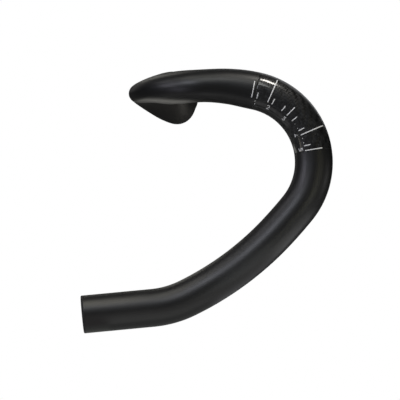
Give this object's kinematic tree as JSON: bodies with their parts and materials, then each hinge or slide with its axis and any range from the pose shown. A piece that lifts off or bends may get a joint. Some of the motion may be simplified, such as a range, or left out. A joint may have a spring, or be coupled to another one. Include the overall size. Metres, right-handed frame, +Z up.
{
  "type": "drop handlebar",
  "caption": "Carbon road drop handlebar with wing-shaped tops, compact drops, woven lever zones with a position scale, and expander end plugs.",
  "frame": {"origin": "centre of the stem clamp barrel", "axes": "+X to the rider's left along the clamp axis, -Y forwards, +Z up"},
  "size_m": [0.4442, 0.1608, 0.1687],
  "materials": {
    "satin_carbon": "satin clear over unidirectional carbon",
    "raw_carbon": "bare laminate",
    "woven_carbon": "gloss clear over fine woven carbon",
    "white_ink": "printed ink",
    "grey_ink": "printed ink",
    "grip_texture": "gritty anti-slip coat",
    "plug_plastic": "moulded nylon",
    "plug_rubber": "soft rubber",
    "wedge_alloy": "turned alloy",
    "screw_steel": "black oxide"
  },
  "bodies": {
    "bar": {"centre_section": "satin_carbon", "right_drop": "satin_carbon", "left_drop": "satin_carbon", "right_joint_spigot": "raw_carbon", "left_joint_spigot": "raw_carbon", "right_lever_wrap": "woven_carbon", "left_lever_wrap": "woven_carbon", "right_scale_marks": "white_ink", "left_scale_marks": "white_ink", "right_scale_numerals": "grey_ink", "left_scale_numerals": "grey_ink", "clamp_grip_band": "grip_texture", "clamp_centre_marks": "white_ink", "clamp_core_sleeve": "raw_carbon", "right_plug_cap": "plug_plastic", "left_plug_cap": "plug_plastic", "right_plug_rubber": "plug_rubber", "left_plug_rubber": "plug_rubber"},
    "right_screw": {"right_plug_screw": "screw_steel"},
    "right_wedge": {"right_plug_wedge": "wedge_alloy"},
    "left_screw": {"left_plug_screw": "screw_steel"},
    "left_wedge": {"left_plug_wedge": "wedge_alloy"}
  },
  "joints": [
    {"name": "right_plug_screw_turn", "type": "hinge", "parent": "bar", "child": "right_screw", "pos_m": [-0.21, 0.05808, -0.13868], "axis": [-0.031, 0.9951, -0.0944], "range_deg": [0, 1440]},
    {"name": "right_plug_wedge_travel", "type": "slide", "parent": "bar", "child": "right_wedge", "axis": [0.031, -0.9951, 0.0944], "range_m": [0, 0.0032]},
    {"name": "left_plug_screw_turn", "type": "hinge", "parent": "bar", "child": "left_screw", "pos_m": [0.21, 0.05808, -0.13868], "axis": [0.031, 0.9951, -0.0944], "range_deg": [0, 1440]},
    {"name": "left_plug_wedge_travel", "type": "slide", "parent": "bar", "child": "left_wedge", "axis": [-0.031, -0.9951, 0.0944], "range_m": [0, 0.0032]}
  ],
  "couplings": [
    {"joint": "right_plug_screw_turn", "follows": "right_plug_wedge_travel", "rad_per_m": 7854},
    {"joint": "left_plug_screw_turn", "follows": "left_plug_wedge_travel", "rad_per_m": 7854}
  ]
}
